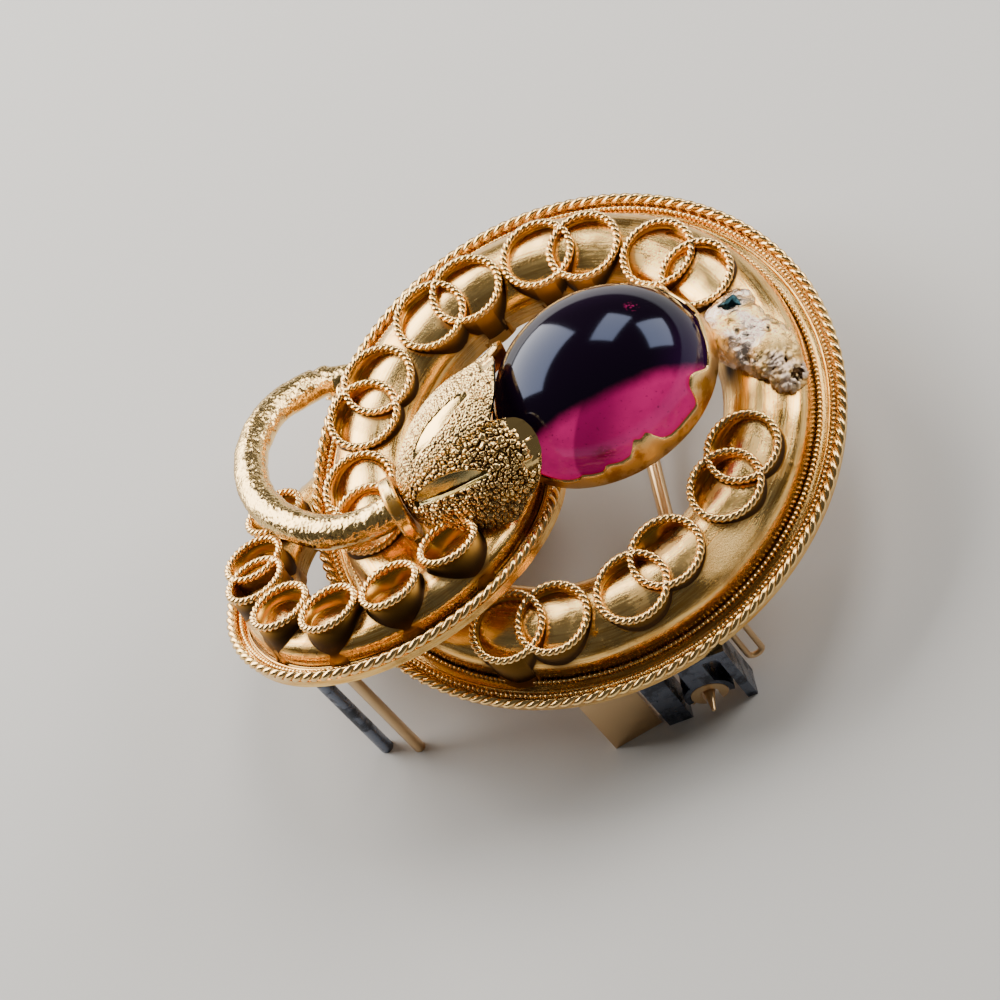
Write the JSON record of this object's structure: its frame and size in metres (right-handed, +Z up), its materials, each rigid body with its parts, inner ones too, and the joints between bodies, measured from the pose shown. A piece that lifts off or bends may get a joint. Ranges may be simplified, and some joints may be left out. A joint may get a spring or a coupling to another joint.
{
  "type": "brooch",
  "caption": "Gold knot brooch: threaded wirework rings, looped stem, calyx and oval garnet cabochon, with pin and catch behind.",
  "frame": {"origin": "centre of the underside of the brooch's bounding box, on the surface that it lies on", "axes": "+Z up through the front face, +X from the stem's loop to the stone, +Y to the pin's hinge side"},
  "size_m": [0.0362, 0.0308, 0.0151],
  "materials": {
    "gold": "satin",
    "gold_wire": "satin",
    "fitting_gold": "worn",
    "dark_steel": "dull",
    "garnet": "polished",
    "solder": "rough"
  },
  "bodies": {
    "brooch": {"large_ring": "gold", "large_ring_rope": "gold_wire", "large_ring_beading": "gold_wire", "large_ring_circles_1": "gold_wire", "large_ring_circles_2": "gold_wire", "large_ring_circles_3": "gold_wire", "large_ring_circles_4": "gold_wire", "large_ring_circles_5": "gold_wire", "large_ring_circles_6": "gold_wire", "large_ring_circles_7": "gold_wire", "large_ring_circles_8": "gold_wire", "small_ring": "gold", "small_ring_rope": "gold_wire", "small_ring_beading": "gold_wire", "small_ring_circles_1": "gold_wire", "small_ring_circles_2": "gold_wire", "small_ring_circles_3": "gold_wire", "small_ring_circles_4": "gold_wire", "small_ring_circles_5": "gold_wire", "small_ring_circles_6": "gold_wire", "stem": "gold", "stem_collar": "gold", "calyx": "gold", "bezel": "gold", "garnet": "garnet", "solder_repair": "solder", "pin_hinge": "fitting_gold", "catch_housing": "fitting_gold", "back_plate": "dark_steel", "chain_loop": "gold_wire", "steel_post": "dark_steel", "gold_post": "fitting_gold"},
    "pin": {"pin_stem": "fitting_gold"},
    "roller": {"catch_roller": "fitting_gold"}
  },
  "joints": [
    {"name": "pin_swing", "type": "hinge", "parent": "brooch", "child": "pin", "pos_m": [0.00849, 0.01361, 0.00175], "axis": [0.9816, -0.1908, 0], "range_deg": [0, 100]},
    {"name": "catch_turn", "type": "hinge", "parent": "brooch", "child": "roller", "pos_m": [0.0032, -0.01363, 0.00175], "axis": [-0.1908, -0.9816, 0], "range_deg": [0, 100]}
  ]
}
